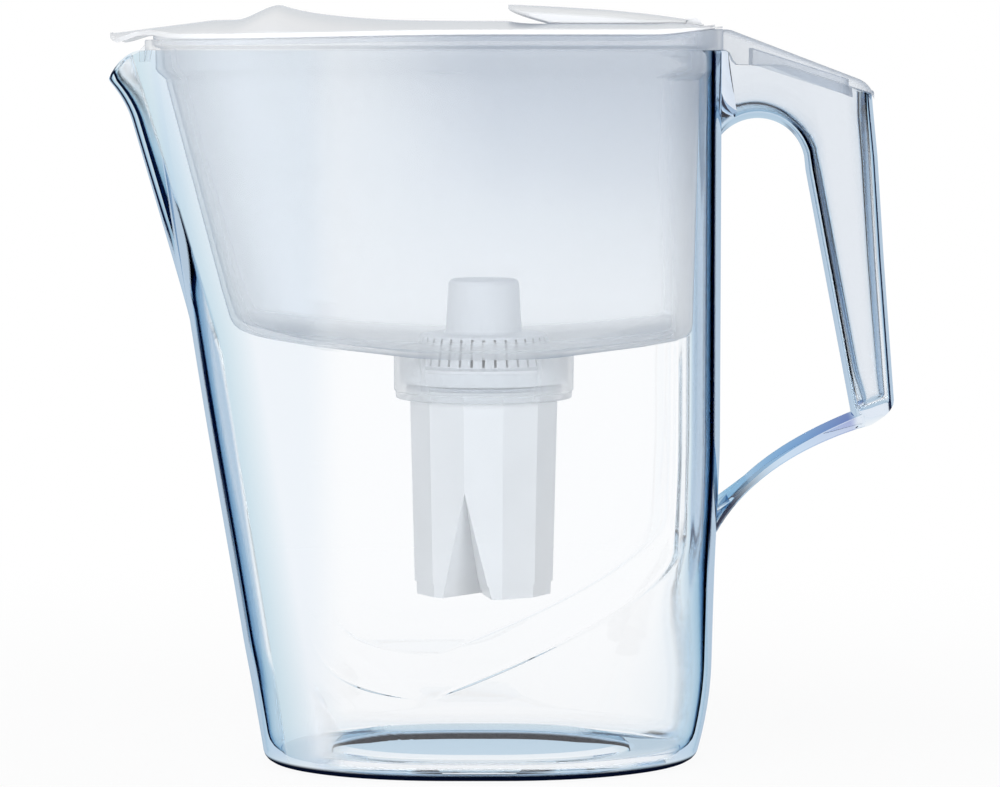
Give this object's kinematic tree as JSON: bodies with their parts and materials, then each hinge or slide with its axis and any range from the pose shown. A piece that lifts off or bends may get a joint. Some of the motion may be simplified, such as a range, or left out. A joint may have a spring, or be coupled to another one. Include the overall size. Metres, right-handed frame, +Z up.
{
  "type": "water filter jug",
  "caption": "Clear filter jug with a spout and hollow handle; a milky funnel hangs in it under a lid with a flip flap and holds a replaceable filter cartridge.",
  "frame": {"origin": "on the table, at the middle of the whole jug's length and width", "axes": "+Z up, -X towards the spout, +X towards the handle"},
  "size_m": [0.2655, 0.1098, 0.256],
  "materials": {
    "clear_blue_plastic": "clear, lightly blue, glossy",
    "milky_plastic": "translucent, milky, satin",
    "white_gloss_plastic": "white, glossy",
    "white_plastic": "cool white, satin",
    "sealing_rubber": "pale grey, matt",
    "filter_granules": "dark and pale grains mixed",
    "filter_fleece": "white felt"
  },
  "bodies": {
    "jug": {"jug": "clear_blue_plastic"},
    "funnel": {"funnel": "milky_plastic"},
    "lid": {"lid": "white_gloss_plastic", "flap_hinge_pin": "white_plastic"},
    "flap": {"flip_flap": "white_gloss_plastic"},
    "cartridge": {"cartridge_head": "white_plastic", "cartridge_seal": "sealing_rubber", "cartridge_shell": "white_plastic", "cartridge_base_cap": "white_plastic", "filter_bed": "filter_granules", "upper_fleece": "filter_fleece", "lower_fleece": "filter_fleece"}
  },
  "joints": [
    {"name": "funnel_lift", "type": "slide", "parent": "jug", "child": "funnel", "axis": [0, 0, 1], "range_m": [0, 0.19]},
    {"name": "lid_lift", "type": "slide", "parent": "funnel", "child": "lid", "axis": [0, 0, 1], "range_m": [0, 0.06]},
    {"name": "flap_hinge", "type": "hinge", "parent": "lid", "child": "flap", "pos_m": [0.0644, 0, 0.2486], "axis": [0, 1, 0], "range_deg": [0, 95]},
    {"name": "cartridge_lift", "type": "slide", "parent": "funnel", "child": "cartridge", "axis": [0, 0, 1], "range_m": [0, 0.078]}
  ]
}
